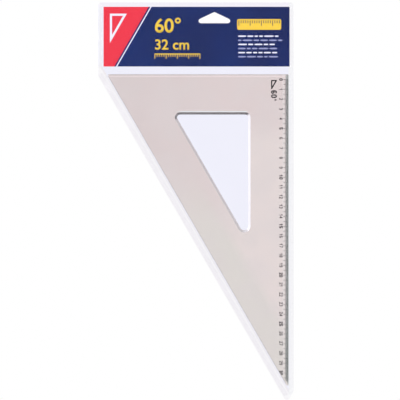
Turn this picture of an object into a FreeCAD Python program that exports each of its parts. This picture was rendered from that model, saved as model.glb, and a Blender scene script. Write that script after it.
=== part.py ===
import FreeCAD, Part
import math
import os

# A 30-60-90 set square hanging in its clear film sleeve, with a printed card across the top.
# X is to the right, Z is up and the front faces -Y. The origin is the top of the hanging hole,
# halfway through the thickness of the pack. Lengths are millimetres and angles are degrees.

Vector = FreeCAD.Vector

# Set square plate
RULED_EDGE_LENGTH = 318.5
LEFT_CORNER_ANGLE = 60.0
PLATE_THICKNESS = 2.0
PLATE_CORNER_RADIUS = 1.2
EDGE_THICKNESS = 0.8
RULED_BEVEL_WIDTH = 3.1
PLAIN_BEVEL_WIDTH = 0.5
TOP_BAND = 41.3
RULED_BAND = 41.2
SLANT_BAND = 39.7
WINDOW_RADIUS = 3.0
WINDOW_TIP_RADIUS = 4.2
WINDOW_BEVEL_WIDTH = 2.3
WINDOW_BEVEL_DEPTH = 1.2

# Scale print
INK_THICKNESS = 0.05
INK_MARGIN = 0.1
GRADUATION = 1.0
ZERO_BELOW_TOP = 5.6
TICK_WIDTH = 0.34
LONG_TICK_WIDTH = 0.46
MILLIMETRE_TICK = 3.6
HALF_TICK = 5.1
CENTIMETRE_TICK = 5.3
NUMERAL_OFFSET = 5.8
NUMERAL_HEIGHT = 3.8
NUMERAL_STROKE = 0.6
BOLD_STROKE = 0.86
NUMERAL_SPACE = 0.25
TWO_DIGIT_RISE = 0.4
LABEL_EVERY = 10
HALF_EVERY = 5
BOLD_EVERY = 5

# Corner mark print
MARK_FROM_RULED_EDGE = 11.9
MARK_BELOW_TOP = 6.0
MARK_HEIGHT = 6.0
MARK_STROKE = 1.3
MARK_SPACE = 1.1
DEGREE_RING_RADIUS = 0.75
DEGREE_STROKE = 0.6

# Header card and hanging hole. The card is a little wider than the plate's sharp outline.
CARD_BEYOND_LEFT = 3.3
CARD_BEYOND_RIGHT = 1.0
CARD_HEIGHT = 61.0
CARD_THICKNESS = 0.4
CARD_RIGHT_OF_HOLE = 76.8
CARD_ABOVE_HOLE = 5.5
HOLE_WIDTH = 32.2
HOLE_HEIGHT = 11.3
HOLE_RADIUS = 2.4
CARD_TO_PLATE = 7.7

# Film sleeve
FILM_THICKNESS = 0.2
LAYER_CLEARANCE = 0.2
FILM_ABOVE_CARD = 4.7
LEFT_CLEARANCE = 1.6
RIGHT_CLEARANCE = 0.3
SEAT_CLEARANCE = 0.3
TAPER_WIDTH = 1.9
SIDE_WELD_WIDTH = 2.2
SLANT_WELD_WIDTH = 6.5
TIP_WELD_WIDTH = 3.7
MOUTH_CORNER_RADIUS = 3.0
TIP_RADIUS = 3.2

# Depths, from the front film to the back film
PACK_DEPTH = 2 * FILM_THICKNESS + 3 * LAYER_CLEARANCE + CARD_THICKNESS + PLATE_THICKNESS
FRONT = -PACK_DEPTH / 2
BACK = PACK_DEPTH / 2
CARD_FRONT = FRONT + FILM_THICKNESS + LAYER_CLEARANCE
PLATE_FRONT = CARD_FRONT + CARD_THICKNESS + LAYER_CLEARANCE
BEVEL_DEPTH = PLATE_THICKNESS - EDGE_THICKNESS

# Places in the hanging pack
CARD_BOTTOM = CARD_ABOVE_HOLE - CARD_HEIGHT
PLATE_RIGHT = CARD_RIGHT_OF_HOLE - CARD_BEYOND_RIGHT
PLATE_TOP = CARD_BOTTOM - CARD_TO_PLATE


def side(facing, x, z):
    """A straight side through (x, z). It faces out at an angle counted from +X towards +Z."""
    nx = math.cos(math.radians(facing))
    nz = math.sin(math.radians(facing))
    return nx, nz, nx * x + nz * z


def reach(boundary, x, z):
    """How far (x, z) lies inside a side."""
    nx, nz, distance = boundary
    return distance - nx * x - nz * z


def inset(sides, distances):
    """The sides, each moved inwards by its own distance."""
    return [(nx, nz, distance - d) for (nx, nz, distance), d in zip(sides, distances)]


def corners(sides):
    """The points where each side meets the next one."""
    points = []
    for (ax, az, a), (bx, bz, b) in zip(sides, sides[1:] + sides[:1]):
        turn = ax * bz - az * bx
        points.append(Vector((a * bz - az * b) / turn, 0, (ax * b - a * bx) / turn))
    return points


def outline(points, radii, y):
    """A closed wire through the points at depth y, each corner rounded by its own radius."""
    starts = []
    middles = []
    ends = []
    for i, corner in enumerate(points):
        back = (points[i - 1] - corner).normalize()
        ahead = (points[(i + 1) % len(points)] - corner).normalize()
        half = back.getAngle(ahead) / 2
        inward = (back + ahead).normalize()
        starts.append(corner + back * (radii[i] / math.tan(half)))
        middles.append(corner + inward * (radii[i] / math.sin(half) - radii[i]))
        ends.append(corner + ahead * (radii[i] / math.tan(half)))
    edges = []
    for i, radius in enumerate(radii):
        if radius > 0:
            edges.append(Part.Arc(starts[i], middles[i], ends[i]).toShape())
        edges.append(Part.LineSegment(ends[i], starts[(i + 1) % len(points)]).toShape())
    wire = Part.Wire(edges)
    wire.translate(Vector(0, y, 0))
    return wire


def slab(wire, thickness):
    """The wire's area made thick towards +Y."""
    return Part.Face(wire).extrude(Vector(0, thickness, 0))


def tapered(near_wire, far_wire):
    """The solid whose section changes evenly from one wire to the other."""
    return Part.makeLoft([near_wire, far_wire], True, True)


def wedge(loop_a, loop_b):
    """The flat-faced solid between two flat loops of as many points."""
    faces = [Part.Face(Part.makePolygon(loop + loop[:1])) for loop in (loop_a, loop_b)]
    for i in range(len(loop_a)):
        quad = [loop_a[i - 1], loop_a[i], loop_b[i], loop_b[i - 1]]
        faces.append(Part.Face(Part.makePolygon(quad + quad[:1])))
    solid = Part.Solid(Part.Shell(faces))
    solid.fix(0, 0, 0)
    return solid


def at_depth(point, y):
    return Vector(point.x, y, point.z)


def hang_hole(y, thickness):
    """The rounded triangle that is punched for the peg: its top is at the origin."""
    across = HOLE_WIDTH / 2 - HOLE_RADIUS
    low = HOLE_RADIUS - HOLE_HEIGHT
    centres = [Vector(0, y, -HOLE_RADIUS), Vector(across, y, low), Vector(-across, y, low)]
    inner = Part.makePolygon(centres + centres[:1])
    return slab(inner.makeOffset2D(HOLE_RADIUS), thickness)


def export(name, shape):
    shape.exportStep("parts/" + name + ".step")


# The plate's three sides: top, ruled edge and slanted edge. The ruled edge is measured down to
# the rounded tip, so its sharp corner lies a little lower.
TIP_HALF_ANGLE = math.radians(90 - LEFT_CORNER_ANGLE) / 2
TIP_SHARP = PLATE_TOP - RULED_EDGE_LENGTH - PLATE_CORNER_RADIUS * (1 / math.tan(TIP_HALF_ANGLE) - 1)
PLATE_SIDES = [
    side(90, PLATE_RIGHT, PLATE_TOP),
    side(0, PLATE_RIGHT, PLATE_TOP),
    side(270 - LEFT_CORNER_ANGLE, PLATE_RIGHT, TIP_SHARP),
]
SLANT = PLATE_SIDES[2]
CARD_LEFT = corners(PLATE_SIDES)[2].x - CARD_BEYOND_LEFT


def plate():
    full = corners(PLATE_SIDES)
    bevels = [PLAIN_BEVEL_WIDTH, RULED_BEVEL_WIDTH, PLAIN_BEVEL_WIDTH]
    face = corners(inset(PLATE_SIDES, bevels))
    radii = [PLATE_CORNER_RADIUS] * len(full)
    step = PLATE_FRONT + BEVEL_DEPTH
    body = slab(outline(full, radii, step), EDGE_THICKNESS)
    body = body.fuse(tapered(outline(face, radii, PLATE_FRONT), outline(full, radii, step)))

    window_sides = inset(PLATE_SIDES, [TOP_BAND, RULED_BAND, SLANT_BAND])
    window = corners(window_sides)
    wide_window = corners(inset(window_sides, [-WINDOW_BEVEL_WIDTH] * len(window)))
    window_radii = [WINDOW_RADIUS, WINDOW_TIP_RADIUS, WINDOW_RADIUS]
    wide_radii = [radius + WINDOW_BEVEL_WIDTH for radius in window_radii]
    body = body.cut(slab(outline(window, window_radii, PLATE_FRONT), PLATE_THICKNESS))
    bevel_foot = outline(window, window_radii, PLATE_FRONT + WINDOW_BEVEL_DEPTH)
    body = body.cut(tapered(outline(wide_window, wide_radii, PLATE_FRONT), bevel_foot))
    return body.removeSplitter()


def front_depth(from_edge):
    """The depth of the plate's front at a distance from the ruled edge, on or inside the bevel."""
    return PLATE_FRONT + BEVEL_DEPTH * max(0, 1 - from_edge / RULED_BEVEL_WIDTH)


def tick(length, width, z):
    """One printed line that starts at the ruled edge and follows the bevel onto the flat."""
    stations = [length, RULED_BEVEL_WIDTH, 0] if length > RULED_BEVEL_WIDTH else [length, 0]
    under = [Vector(PLATE_RIGHT - d, front_depth(d), z - width / 2) for d in stations]
    over = [point - Vector(0, INK_THICKNESS, 0) for point in reversed(under)]
    section = Part.makePolygon(under + over + under[:1])
    return Part.Face(section).extrude(Vector(0, 0, width))


def graduation_z(number):
    return PLATE_TOP - ZERO_BELOW_TOP - number * GRADUATION


def slant_room(width, z):
    """How far the flat front reaches from the ruled edge under a line, less the ink's margin."""
    across = reach(SLANT, PLATE_RIGHT, z - width / 2) - PLAIN_BEVEL_WIDTH - INK_MARGIN
    return across / -SLANT[0]


def scale_ticks():
    """Every graduation down to the tip. The slanted edge cuts the last long ones short."""
    ticks = []
    while slant_room(TICK_WIDTH, graduation_z(len(ticks))) > MILLIMETRE_TICK:
        number = len(ticks)
        length = MILLIMETRE_TICK
        width = TICK_WIDTH
        if number % HALF_EVERY == 0:
            length = CENTIMETRE_TICK if number % LABEL_EVERY == 0 else HALF_TICK
            width = LONG_TICK_WIDTH
        z = graduation_z(number)
        ticks.append(tick(min(length, slant_room(width, z)), width, z))
    return ticks


def bowl(centre_x, centre_y, radius, start, end):
    """An arc of a numeral, clockwise from one angle to another. 0 faces right and 90 faces up."""
    points = []
    for angle in (start, (start + end) / 2, end):
        turned = math.radians(angle)
        points.append(Vector(centre_x + radius * math.cos(turned), centre_y + radius * math.sin(turned), 0))
    return Part.Arc(*points).toShape()


def ring(centre_x, centre_y, radius):
    """A whole round of a numeral."""
    upper = bowl(centre_x, centre_y, radius, 180, 0)
    return [upper, bowl(centre_x, centre_y, radius, 0, -180)]


def run(*points):
    """Straight pen strokes through the points (x, y)."""
    ends = [Vector(x, y, 0) for x, y in points]
    return [Part.LineSegment(a, b).toShape() for a, b in zip(ends, ends[1:])]


def start_of(edge):
    point = edge.valueAt(edge.FirstParameter)
    return point.x, point.y


def end_of(edge):
    point = edge.valueAt(edge.LastParameter)
    return point.x, point.y


def digit_paths(digit, height):
    """The pen's path for a digit, half as wide as it is high: (edges, closed) for each stroke."""
    width = height / 2
    radius = width / 2
    low = radius
    high = height - radius
    if digit == 0:
        top = bowl(radius, high, radius, 180, 0)
        bottom = bowl(radius, low, radius, 0, -180)
        down = run((width, high), (width, low))
        up = run((0, low), (0, high))
        return [([top] + down + [bottom] + up, True)]
    if digit == 1:
        flag = (0.1 * width, 0.75 * height)
        stem = 0.6 * width
        return [(run(flag, (stem, height), (stem, 0)), False)]
    if digit == 2:
        start_angle = 165
        end_angle = -35
        top = bowl(radius, high, radius, start_angle, end_angle)
        return [([top] + run(end_of(top), (0, 0), (width, 0)), False)]
    if digit == 3:
        start_angle = 150
        end_angle = -150
        top = bowl(radius, high, radius, start_angle, -90)
        return [([top, bowl(radius, low, radius, 90, end_angle)], False)]
    if digit == 4:
        bar = 0.26 * height
        stem = 0.8 * width
        sail = run((0, bar), (stem, height), (stem, bar), (0, bar))
        return [(sail, True), (run((width, bar), (stem, bar), (stem, 0)), False)]
    if digit == 5:
        start_angle = 135
        end_angle = -150
        belly = bowl(radius, low, radius, start_angle, end_angle)
        return [(run((width, height), (0, height), start_of(belly)) + [belly], False)]
    if digit == 6:
        end_angle = 40
        hook = run((0, low), (0, high)) + [bowl(radius, high, radius, 180, end_angle)]
        return [(ring(radius, low, radius), True), (hook, False)]
    if digit == 7:
        foot = 0.3 * width
        return [(run((0, height), (width, height), (foot, 0)), False)]
    if digit == 8:
        return [(ring(radius, low, radius), True), (ring(radius, high, radius), True)]
    end_angle = -140
    hook = run((width, high), (width, low)) + [bowl(radius, low, radius, 0, end_angle)]
    return [(ring(radius, high, radius), True), (hook, False)]


def penned(paths, stroke):
    """The ink that a round pen of the stroke's width leaves along the paths, flat on XY."""
    ink = None
    for edges, closed in paths:
        path = Part.Wire(edges)
        face = Part.Face(path.makeOffset2D(stroke / 2))
        if closed:
            face = face.cut(Part.Face(path.makeOffset2D(-stroke / 2)))
        solid = face.extrude(Vector(0, 0, INK_THICKNESS))
        ink = ink.fuse(solid) if ink else solid
    return ink.removeSplitter()


# Print on the plate reads downwards, and its tops point at the ruled edge.
READING = FreeCAD.Rotation(Vector(0, 0, -1), Vector(1, 0, 0), Vector(0, -1, 0), "XYZ")


def printed(ink, from_edge, z):
    """A copy of some ink on the flat front: its corner lies from_edge inside the ruled edge."""
    copy = ink.copy()
    copy.Placement = FreeCAD.Placement(Vector(PLATE_RIGHT - from_edge, PLATE_FRONT, z), READING)
    return copy


def scale_numerals():
    """The centimetre labels, one digit centred on its line and two a little above that. The slanted
    edge cuts into the last one."""
    path_height = NUMERAL_HEIGHT - BOLD_STROKE
    glyphs = {}
    foot = NUMERAL_OFFSET + NUMERAL_HEIGHT - BOLD_STROKE / 2
    middle = PLATE_RIGHT - NUMERAL_OFFSET - NUMERAL_HEIGHT / 2
    margins = [PLAIN_BEVEL_WIDTH + INK_MARGIN] * len(PLATE_SIDES)
    flat = corners(inset(PLATE_SIDES, margins))
    printable = slab(outline(flat, [0] * len(flat), PLATE_FRONT - INK_THICKNESS), INK_THICKNESS)
    labels = []
    number = 0
    while reach(SLANT, middle, graduation_z(number * LABEL_EVERY)) > 0:
        digits = [int(d) for d in str(number)]
        pen = BOLD_STROKE if number % BOLD_EVERY == 0 else NUMERAL_STROKE
        pitch = path_height / 2 + pen + NUMERAL_SPACE
        more = len(digits) - 1
        line = graduation_z(number * LABEL_EVERY) + TWO_DIGIT_RISE * more
        start = line + (pitch * more + path_height / 2) / 2
        for place, digit in enumerate(digits):
            if (pen, digit) not in glyphs:
                glyphs[pen, digit] = penned(digit_paths(digit, path_height), pen)
            ink = printed(glyphs[pen, digit], foot, start - place * pitch)
            labels += ink.common(printable).Solids
        number += 1
    return labels


def corner_mark():
    """A plain outline of a set square, then the number 60 with a degree ring."""
    path_height = MARK_HEIGHT - MARK_STROKE
    foot = MARK_FROM_RULED_EDGE + MARK_HEIGHT - MARK_STROKE / 2
    long_leg = path_height * math.tan(math.radians(LEFT_CORNER_ANGLE))
    triangle = run((0, 0), (0, path_height), (long_leg, 0), (0, 0))
    z = PLATE_TOP - MARK_BELOW_TOP - MARK_STROKE / 2
    pieces = [printed(penned([(triangle, True)], MARK_STROKE), foot, z)]
    z -= long_leg + MARK_STROKE + MARK_SPACE
    for digit in (6, 0):
        pieces.append(printed(penned(digit_paths(digit, path_height), MARK_STROKE), foot, z))
        z -= path_height / 2 + MARK_STROKE + MARK_SPACE / 2
    degree = ring(DEGREE_RING_RADIUS, path_height - DEGREE_RING_RADIUS, DEGREE_RING_RADIUS)
    pieces.append(printed(penned([(degree, True)], DEGREE_STROKE), foot, z))
    return pieces


def header_card():
    points = [
        Vector(CARD_RIGHT_OF_HOLE, 0, CARD_ABOVE_HOLE),
        Vector(CARD_RIGHT_OF_HOLE, 0, CARD_BOTTOM),
        Vector(CARD_LEFT, 0, CARD_BOTTOM),
        Vector(CARD_LEFT, 0, CARD_ABOVE_HOLE),
    ]
    card = slab(outline(points, [0] * len(points), CARD_FRONT), CARD_THICKNESS)
    return card.cut(hang_hole(CARD_FRONT, CARD_THICKNESS))


# The sleeve's flat panels, then the tapers where the two films close in on each other, then the
# flat welds. The mouth has only panels. The sides in order: mouth, right, tip, slant and left.
# The tip's short side slopes as steeply as the slant. The plate seats on the slant, unless the
# card's lower corner reaches further out.
CARD_BEYOND_SLANT = max(0, -reach(SLANT, CARD_LEFT, CARD_BOTTOM))
TIP_SIDE = side(LEFT_CORNER_ANGLE - 90, PLATE_RIGHT, TIP_SHARP)
PANEL_SIDES = [
    side(90, 0, CARD_ABOVE_HOLE + FILM_ABOVE_CARD),
    side(0, CARD_RIGHT_OF_HOLE + RIGHT_CLEARANCE, 0),
    *inset([TIP_SIDE, SLANT], [-CARD_BEYOND_SLANT - SEAT_CLEARANCE] * 2),
    side(180, CARD_LEFT - LEFT_CLEARANCE, 0),
]
TAPERS = [0, -TAPER_WIDTH, -TAPER_WIDTH, -TAPER_WIDTH, -TAPER_WIDTH]
WELDS = [0, -SIDE_WELD_WIDTH, -TIP_WELD_WIDTH, -SLANT_WELD_WIDTH, -SIDE_WELD_WIDTH]
PANEL = corners(PANEL_SIDES)
WELD_INNER = corners(inset(PANEL_SIDES, TAPERS))
OUTER = corners(inset(inset(PANEL_SIDES, TAPERS), WELDS))
OUTER_RADII = [MOUTH_CORNER_RADIUS, 0, TIP_RADIUS, 0, MOUTH_CORNER_RADIUS]


def film_panel(y):
    """One film's flat area, with the hanging hole."""
    panel = slab(outline(PANEL, [0] * len(PANEL), y), FILM_THICKNESS)
    return panel.cut(hang_hole(y, FILM_THICKNESS))


def weld(number):
    """Both films along one side: flat and melted together outside, parting towards the panels."""
    ends = (number - 1, number)
    flange = [OUTER[ends[0]], OUTER[ends[1]], WELD_INNER[ends[1]], WELD_INNER[ends[0]]]
    radii = [0] * len(flange)
    strip = slab(outline(flange, radii, -FILM_THICKNESS), 2 * FILM_THICKNESS)
    for out in (-1, 1):
        sections = []
        for end in ends:
            joined = WELD_INNER[end]
            parted = PANEL[end]
            sections.append([
                at_depth(joined, 0),
                at_depth(joined, out * FILM_THICKNESS),
                at_depth(parted, out * BACK),
                at_depth(parted, out * (BACK - FILM_THICKNESS)),
            ])
        strip = strip.fuse(wedge(*sections))
    whole = slab(outline(OUTER, OUTER_RADII, FRONT), PACK_DEPTH)
    return strip.common(whole).removeSplitter()


os.makedirs("parts", exist_ok=True)
export("set_square_plate", plate())
export("scale_ticks", Part.makeCompound(scale_ticks()))
export("scale_numerals", Part.makeCompound(scale_numerals()))
export("corner_mark", Part.makeCompound(corner_mark()))
export("header_card", header_card())
export("sleeve_front_film", film_panel(FRONT))
export("sleeve_back_film", film_panel(BACK - FILM_THICKNESS))
for number, name in enumerate(("right_weld", "tip_weld", "slant_weld", "left_weld"), start=1):
    export(name, weld(number))
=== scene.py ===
import math

import bmesh
import bpy
from mathutils import Matrix, Vector, geometry


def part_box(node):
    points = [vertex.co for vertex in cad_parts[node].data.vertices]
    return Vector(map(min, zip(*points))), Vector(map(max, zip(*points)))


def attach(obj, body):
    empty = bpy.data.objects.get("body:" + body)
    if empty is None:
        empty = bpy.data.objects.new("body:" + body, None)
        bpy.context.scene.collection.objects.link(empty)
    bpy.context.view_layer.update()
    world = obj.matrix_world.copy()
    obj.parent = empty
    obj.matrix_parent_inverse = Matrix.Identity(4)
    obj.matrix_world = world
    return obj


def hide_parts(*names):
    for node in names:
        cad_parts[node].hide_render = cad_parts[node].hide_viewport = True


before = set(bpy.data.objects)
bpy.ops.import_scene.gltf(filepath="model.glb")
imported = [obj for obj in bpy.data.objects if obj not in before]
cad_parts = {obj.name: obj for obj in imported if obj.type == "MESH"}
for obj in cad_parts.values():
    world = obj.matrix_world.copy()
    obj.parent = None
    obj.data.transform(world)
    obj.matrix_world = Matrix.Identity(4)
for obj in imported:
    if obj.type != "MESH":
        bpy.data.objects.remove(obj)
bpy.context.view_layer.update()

# A set square in its clear hanging sleeve. The plate, its print, the card and the welds are the
# frame's own nodes with new finishes. The two films are made again here with a little slack, and
# the card's print, the weld's ribs and the stage are added. Everything is in metres.

MM = 0.001

# The angle between the plate's top and its slanted edge. The band on the card leans by it too.
PLATE_ANGLE = math.radians(60)

# The films
FILM_THICKNESS = 0.2 * MM
FILM_GRID = 3.5 * MM
FILM_FADE = 24 * MM
FRONT_SETTLE = 0.45 * MM
BACK_SETTLE = 0.04 * MM
SINK_BELOW_CARD = (1.5 * MM, 16 * MM)
FRONT_RIPPLE = 0.14 * MM
BACK_RIPPLE = 0.07 * MM
RIPPLE_SIZE = 30 * MM
RIPPLE_STRETCH = (1.0, 1.0, 0.45)

# The weld's pressed ribs
RIB_PITCH = 1.3 * MM
RIB_WIDTH = 0.5 * MM
RIB_HEIGHT = 0.05 * MM
RIB_SHARE = 0.72
RIB_SIDES = 6

# The card's print: u to the right and v up, from the card's lower left corner
INK_LAYER = 0.012 * MM
ROUND_STEPS = 6
BAND_SLOPE = math.tan(PLATE_ANGLE)
BAND_WIDTH_BELOW = 11 * MM
KEYLINE_GAP = 1.7 * MM
KEYLINE_WIDTH = 1.2 * MM
BAND_MARK_PLACE = (6.5 * MM, 24 * MM)
BAND_MARK_HEIGHT = 30 * MM
BAND_MARK_LINE = 2.2 * MM
NUMBER_LEFT = 52 * MM
NUMBER_LINES = (("60\N{DEGREE SIGN}", 35 * MM, 20 * MM), ("32 cm", 17.5 * MM, 14.5 * MM))
NUMBER_WEIGHT = 0.02
NUMBER_CURVE_STEPS = 6
TICK_PITCH = 2.3 * MM
TICK_THICKNESS = 0.75 * MM
LONG_TICK_EVERY = 5
RULE_PLACE = (52.5 * MM, 12.5 * MM)
RULE_TICKS = 21
RULE_TICK_LENGTHS = (2.6 * MM, 4.8 * MM)
RULE_LINE_HEIGHT = 1 * MM
RULE_LINE_LAP = 0.2 * MM
RULE_LINE_ROUND = 0.3 * MM
EMBLEM_PLACE = (136.5 * MM, 37.5 * MM)
EMBLEM_SIZE = (45 * MM, 11 * MM)
EMBLEM_ROUND = 1.8 * MM
EMBLEM_TICKS = 19
EMBLEM_TICK_LENGTHS = (3.4 * MM, 6 * MM)
EMBLEM_TICKS_BELOW_TOP = 1 * MM
LINES_PLACE = (137.5 * MM, 31 * MM)
LINES_WIDTH = 46 * MM
LINE_PITCH = 4.2 * MM
LINE_COUNT = 6
WORDS_IN_LINE = 8
WORD_LENGTHS = (3 * MM, 10 * MM)
WORD_GAP = 1.3 * MM
WORD_HEIGHT = 1.5 * MM
WORD_SEED = 7
BAR_CORNER = 0.25


# ---------------------------------------------------------------- making nodes and meshes


def srgb(red, green, blue):
    """A printed colour, given as 0 to 255, as the linear colour that a shader takes."""
    linear = []
    for value in (red, green, blue):
        share = value / 255
        linear.append(share / 12.92 if share <= 0.04045 else ((share + 0.055) / 1.055) ** 2.4)
    return (*linear, 1.0)


def add(tree, kind, inputs=None, **settings):
    """One node with its settings and inputs. An input is a value or another node's output."""
    made = tree.nodes.new(kind)
    for name, value in settings.items():
        setattr(made, name, value)
    for name, value in (inputs or {}).items():
        if isinstance(value, bpy.types.NodeSocket):
            tree.links.new(value, made.inputs[name])
        else:
            made.inputs[name].default_value = value
    return made


def math_node(tree, operation, first, second=0.0):
    """The output of an operation, such as ADD or FLOOR, on one or two numbers or outputs."""
    return add(tree, "ShaderNodeMath", {0: first, 1: second}, operation=operation).outputs[0]


def product(tree, first, second):
    """Two numbers or outputs, multiplied."""
    return math_node(tree, "MULTIPLY", first, second)


def the_rest(tree, share):
    """What a share leaves of 1."""
    return math_node(tree, "SUBTRACT", 1.0, share)


def vector(tree, **sides):
    """A vector from its sides X, Y and Z. A side that isn't given is 0."""
    return add(tree, "ShaderNodeCombineXYZ", sides).outputs[0]


def sides_of(tree, arrow):
    """The outputs X, Y and Z of a vector."""
    return add(tree, "ShaderNodeSeparateXYZ", {0: arrow}).outputs


def along(tree, arrow, direction):
    """How far a vector reaches along a direction."""
    inputs = {0: arrow, 1: direction}
    return add(tree, "ShaderNodeVectorMath", inputs, operation="DOT_PRODUCT").outputs["Value"]


def ramp(tree, value, low, high, to_low=0.0, to_high=1.0):
    """A smooth step of a value from to_low, at low, to to_high, at high."""
    inputs = {"Value": value, "From Min": low, "From Max": high, "To Min": to_low, "To Max": to_high}
    made = add(tree, "ShaderNodeMapRange", inputs, interpolation_type="SMOOTHSTEP")
    return made.outputs["Result"]


def crossing(tree, value, line, soft):
    """0 below a line and 1 above it, with a soft step across it."""
    return ramp(tree, value, line - soft, line + soft)


def stripe(tree, value, low, high, soft):
    """1 while a value is between low and high, with a soft step inside each end."""
    return product(tree, ramp(tree, value, low, low + soft), ramp(tree, value, high, high - soft))


def blended(tree, share, first, second):
    """A colour that goes from the first to the second with the share."""
    made = add(tree, "ShaderNodeMix", data_type="RGBA")
    for place, value in ((0, share), (6, first), (7, second)):
        if isinstance(value, bpy.types.NodeSocket):
            tree.links.new(value, made.inputs[place])
        else:
            made.inputs[place].default_value = value
    return made.outputs[2]


def new_finish(name):
    """An empty material and its output node."""
    finish = bpy.data.materials.new(name)
    finish.use_nodes = True
    finish.node_tree.nodes.clear()
    return finish, finish.node_tree, finish.node_tree.nodes.new("ShaderNodeOutputMaterial")


def new_effect(name, inputs, outputs):
    """An empty shader group with float inputs (name, default) and outputs (name, socket type)."""
    tree = bpy.data.node_groups.new(name, "ShaderNodeTree")
    for socket, default in inputs:
        made = tree.interface.new_socket(socket, in_out="INPUT", socket_type="NodeSocketFloat")
        made.default_value = default
    for socket, kind in outputs:
        tree.interface.new_socket(socket, in_out="OUTPUT", socket_type=kind)
    return tree, tree.nodes.new("NodeGroupInput"), tree.nodes.new("NodeGroupOutput")


def placed(tree, effect, **inputs):
    """The effect's group node inside a material."""
    made = tree.nodes.new("ShaderNodeGroup")
    made.node_tree = effect
    for name, value in inputs.items():
        made.inputs[name.replace("_", " ")].default_value = value
    return made


def new_maker(name, inputs):
    """An empty geometry tree with a geometry input, the named inputs and a geometry output."""
    tree = bpy.data.node_groups.new(name, "GeometryNodeTree")
    tree.interface.new_socket("Geometry", in_out="INPUT", socket_type="NodeSocketGeometry")
    for socket, kind in inputs:
        tree.interface.new_socket(socket, in_out="INPUT", socket_type=kind)
    tree.interface.new_socket("Geometry", in_out="OUTPUT", socket_type="NodeSocketGeometry")
    return tree, tree.nodes.new("NodeGroupInput"), tree.nodes.new("NodeGroupOutput")


def stored(tree, name):
    """A number that each point of the mesh carries."""
    made = add(tree, "GeometryNodeInputNamedAttribute", {"Name": name}, data_type="FLOAT")
    return made.outputs["Attribute"]


def coated(tree, shape, material):
    """The shape with its instances made real, all in one material."""
    whole = add(tree, "GeometryNodeRealizeInstances", {"Geometry": shape}).outputs[0]
    return add(tree, "GeometryNodeSetMaterial", {"Geometry": whole, "Material": material}).outputs[0]


def copies(tree, points, shape, **inputs):
    """A copy of a shape on each point. The inputs can be Rotation, Scale and Selection."""
    given = {"Points": points, "Instance": shape, **inputs}
    return add(tree, "GeometryNodeInstanceOnPoints", given).outputs[0]


def new_piece(name, data):
    """An object in the scene, made from a mesh, text, camera or lamp."""
    piece = bpy.data.objects.new(name, data)
    bpy.context.scene.collection.objects.link(piece)
    return piece


def plain_mesh(name, points, edges, faces):
    """A mesh from points, and from edges and faces that give the numbers of their points."""
    mesh = bpy.data.meshes.new(name)
    mesh.from_pydata(points, edges, faces)
    return mesh


def mesh_of(piece):
    """The mesh that a piece and its modifiers make."""
    graph = bpy.context.evaluated_depsgraph_get()
    return bpy.data.meshes.new_from_object(piece.evaluated_get(graph), depsgraph=graph)


def settled(piece):
    """Turns what the piece's modifiers make into its own plain mesh."""
    mesh = mesh_of(piece)
    piece.modifiers.clear()
    piece.data = mesh
    return piece


def made_by(piece, tree, **values):
    """Runs a geometry tree on the piece, its inputs set by name, and keeps the mesh."""
    modifier = piece.modifiers.new(tree.name, "NODES")
    modifier.node_group = tree
    for socket in tree.interface.items_tree:
        key = socket.name.lower().replace(" ", "_")
        if socket.in_out == "INPUT" and key in values:
            modifier[socket.identifier] = values[key]
    return settled(piece)


def finish_node(name, finish):
    """Gives a node of the frame its finish."""
    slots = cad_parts[name].data.materials
    slots.clear()
    slots.append(finish)


# ---------------------------------------------------------------- effects that finishes share

# A span is the part of the noise, from 0 to 1, over which what it stands for sets in.
WHOLE_SPAN = (0.3, 0.7)
SPECK_SPAN = (0.32, 0.68)
FIBRE_SPAN = (0.45, 0.7)
FIBRE_STRETCH = (1.0, 1.0, 0.22)
RUB_SPAN = (0.42, 0.72)
RUB_SHARE = 0.5
HAIR_SPAN = (0.66, 0.72)
HAIR_TURN = (0.0, 0.6, 0.0)
HAIRS_PER_METRE = (900.0, 900.0, 26.0)


def noise(tree, place, per_metre, **more):
    """Smooth noise. Most of it lies in WHOLE_SPAN."""
    inputs = {"Vector": place, "Scale": per_metre, **more}
    return add(tree, "ShaderNodeTexNoise", inputs).outputs["Fac"]


def clouds(tree, place, per_metre, span=WHOLE_SPAN):
    """Slow clouds, 0 to 1."""
    return ramp(tree, noise(tree, place, per_metre, Detail=2.0), *span)


def fine_speckle():
    """Small specks and fibres, for board and print: Specks and Fibres, each 0 to 1."""
    outputs = (("Specks", "NodeSocketFloat"), ("Fibres", "NodeSocketFloat"))
    tree, given, result = new_effect("fine_speckle", (("Per Metre", 900.0),), outputs)
    per_metre = given.outputs["Per Metre"]
    place = add(tree, "ShaderNodeTexCoord").outputs["Object"]
    specks = noise(tree, place, per_metre, Detail=3.0)
    drawn = add(tree, "ShaderNodeMapping", {"Vector": place, "Scale": FIBRE_STRETCH}).outputs[0]
    fibres = noise(tree, drawn, per_metre, Detail=2.0, Distortion=1.4)
    tree.links.new(ramp(tree, specks, *SPECK_SPAN), result.inputs["Specks"])
    tree.links.new(ramp(tree, fibres, *FIBRE_SPAN), result.inputs["Fibres"])
    return tree


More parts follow.
